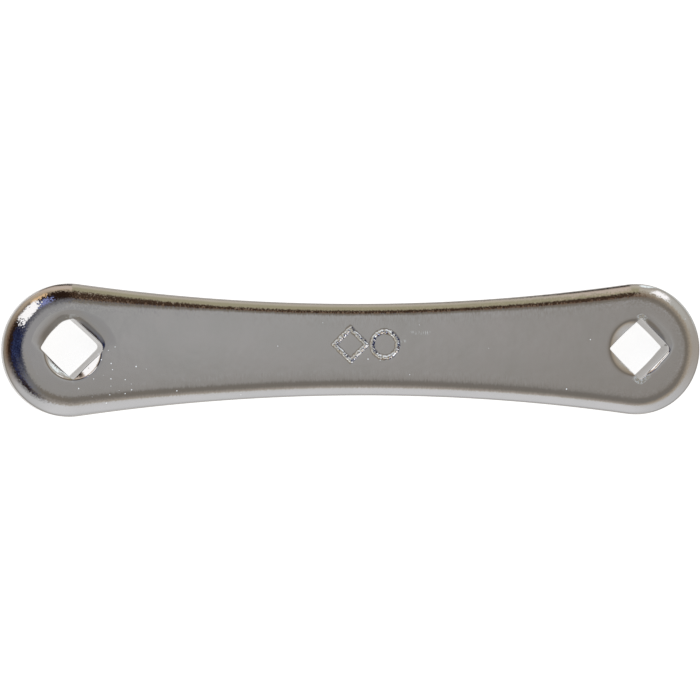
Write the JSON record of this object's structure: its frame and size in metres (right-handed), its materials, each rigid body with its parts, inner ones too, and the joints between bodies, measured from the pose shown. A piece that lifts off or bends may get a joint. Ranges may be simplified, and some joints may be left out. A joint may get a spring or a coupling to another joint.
{
  "type": "tank wrench",
  "caption": "Flat chrome-plated tank wrench, drawn in at the waist, with a square socket through each rounded end for turning the valve stem of a small gas tank.",
  "frame": {"origin": "middle of the lower flat face, half way between the two sockets", "axes": "+X along the bar from the left socket to the right socket, +Y across the bar, +Z through its thickness towards the upper face, so the wrench lies flat"},
  "size_m": [0.1524, 0.0284, 0.008],
  "materials": {
    "chrome_plate": "polished"
  },
  "bodies": {
    "root": {"wrench_body": "chrome_plate"}
  },
  "joints": []
}
